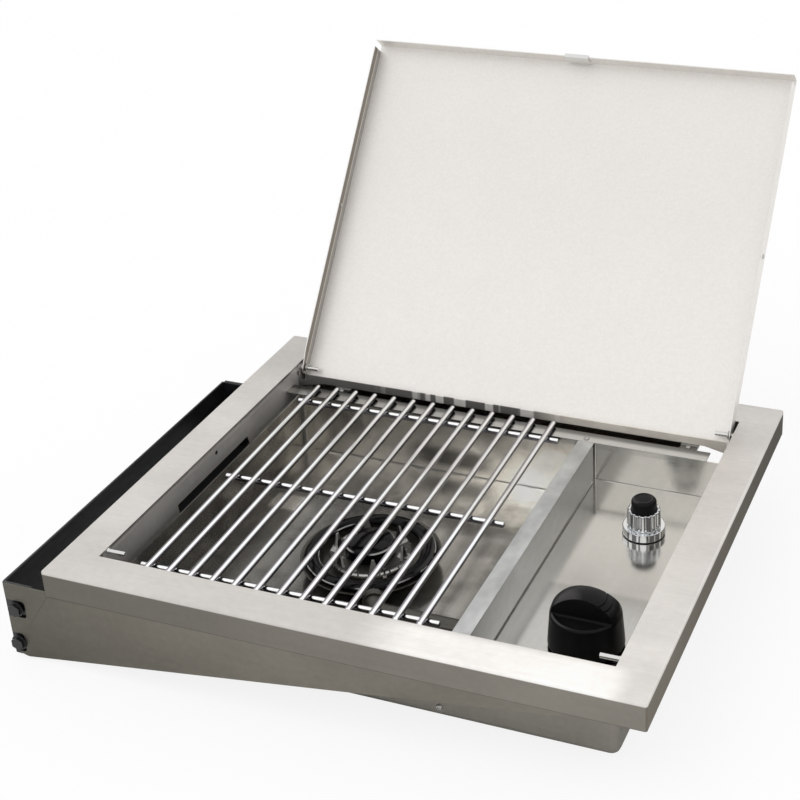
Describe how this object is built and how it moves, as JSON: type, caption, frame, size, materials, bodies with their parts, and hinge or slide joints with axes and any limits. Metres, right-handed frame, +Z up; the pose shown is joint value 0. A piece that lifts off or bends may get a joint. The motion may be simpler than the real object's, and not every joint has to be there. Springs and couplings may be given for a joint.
{
  "type": "built-in side burner",
  "caption": "Drop-in stainless side burner with a hinged lid, a lift-out rod grill over one gas burner, and a recessed control pan with a valve knob and a push igniter.",
  "frame": {"origin": "middle of the end plate's outer face, where the unit is bolted to the cabinet", "axes": "+X along the front towards the control side, +Y to the back, +Z up"},
  "size_m": [0.5435, 0.6044, 0.3582],
  "materials": {
    "brushed_steel": "brushed stainless sheet, slightly warm",
    "box_steel": "brushed stainless sheet, darker and duller",
    "tray_steel": "mill-finish stainless sheet, nearly mirror-like",
    "lid_steel": "pale stainless sheet with a fine vertical grain",
    "bright_steel": "bright plain steel",
    "screw_steel": "plain steel",
    "zinc": "zinc-coated sheet, slightly blue",
    "rod_chrome": "chromed round rod",
    "trim_chrome": "bright chrome",
    "cast_alloy": "sand-cast, dull",
    "enamel": "gloss black enamel",
    "black_plastic": "satin black moulding",
    "black_paint": "black powder coat",
    "brass": "plain brass",
    "ceramic": "glazed white ceramic"
  },
  "bodies": {
    "base": {"top_frame": "brushed_steel", "outer_box": "box_steel", "front_arm": "box_steel", "rear_arm": "box_steel", "burner_tray": "tray_steel", "control_pan": "tray_steel", "front_ledge": "tray_steel", "rear_ledge": "tray_steel", "rear_rail": "tray_steel", "hinge_pin_left": "bright_steel", "hinge_pin_right": "bright_steel", "hinge_clip_left": "bright_steel", "hinge_clip_right": "bright_steel", "rest_pin_left": "bright_steel", "rest_pin_right": "bright_steel", "box_screw": "screw_steel", "ledge_screw_left": "screw_steel", "ledge_screw_right": "screw_steel", "divider_screw": "screw_steel", "divider": "zinc", "air_shutter": "zinc", "igniter_nut": "zinc", "front_nut_upper": "zinc", "front_nut_lower": "zinc", "rear_nut_upper": "zinc", "rear_nut_lower": "zinc", "igniter_ring": "trim_chrome", "igniter_collar": "trim_chrome", "burner_base": "cast_alloy", "flame_spreader": "cast_alloy", "mixing_tube": "cast_alloy", "burner_ring": "enamel", "burner_cap": "enamel", "igniter_barrel": "black_plastic", "igniter_gasket": "black_plastic", "end_plate": "black_paint", "front_bolt_upper": "black_paint", "front_bolt_lower": "black_paint", "rear_bolt_upper": "black_paint", "rear_bolt_lower": "black_paint", "valve_body": "brass", "orifice": "brass", "gas_pipe": "brass", "inlet_fitting": "brass", "spark_electrode": "ceramic"},
    "lid": {"lid": "lid_steel", "lid_latch": "bright_steel", "lid_rivet_left": "screw_steel", "lid_rivet_right": "screw_steel"},
    "grill": {"grill": "rod_chrome"},
    "valve_stem": {"valve_stem": "bright_steel"},
    "knob": {"knob": "black_plastic"},
    "igniter_button": {"igniter_cap": "black_plastic"}
  },
  "joints": [
    {"name": "lid_hinge", "type": "hinge", "parent": "base", "child": "lid", "pos_m": [0.2935, 0.2021, 0.0507], "axis": [1, 0, 0], "range_deg": [0, 129]},
    {"name": "grill_lift", "type": "slide", "parent": "base", "child": "grill", "axis": [0, 0, 1], "range_m": [0, 0.008]},
    {"name": "knob_turn", "type": "hinge", "parent": "base", "child": "valve_stem", "pos_m": [0.4579, -0.0592, 0.0005], "axis": [0, 0, 1], "range_deg": [0, 225]},
    {"name": "knob_push", "type": "slide", "parent": "valve_stem", "child": "knob", "axis": [0, 0, -1], "range_m": [0, 0.003], "stiffness_N_per_m": 600, "springref_m": -0.002},
    {"name": "igniter_push", "type": "slide", "parent": "base", "child": "igniter_button", "axis": [0, 0, -1], "range_m": [0, 0.004], "stiffness_N_per_m": 600, "springref_m": -0.002}
  ]
}
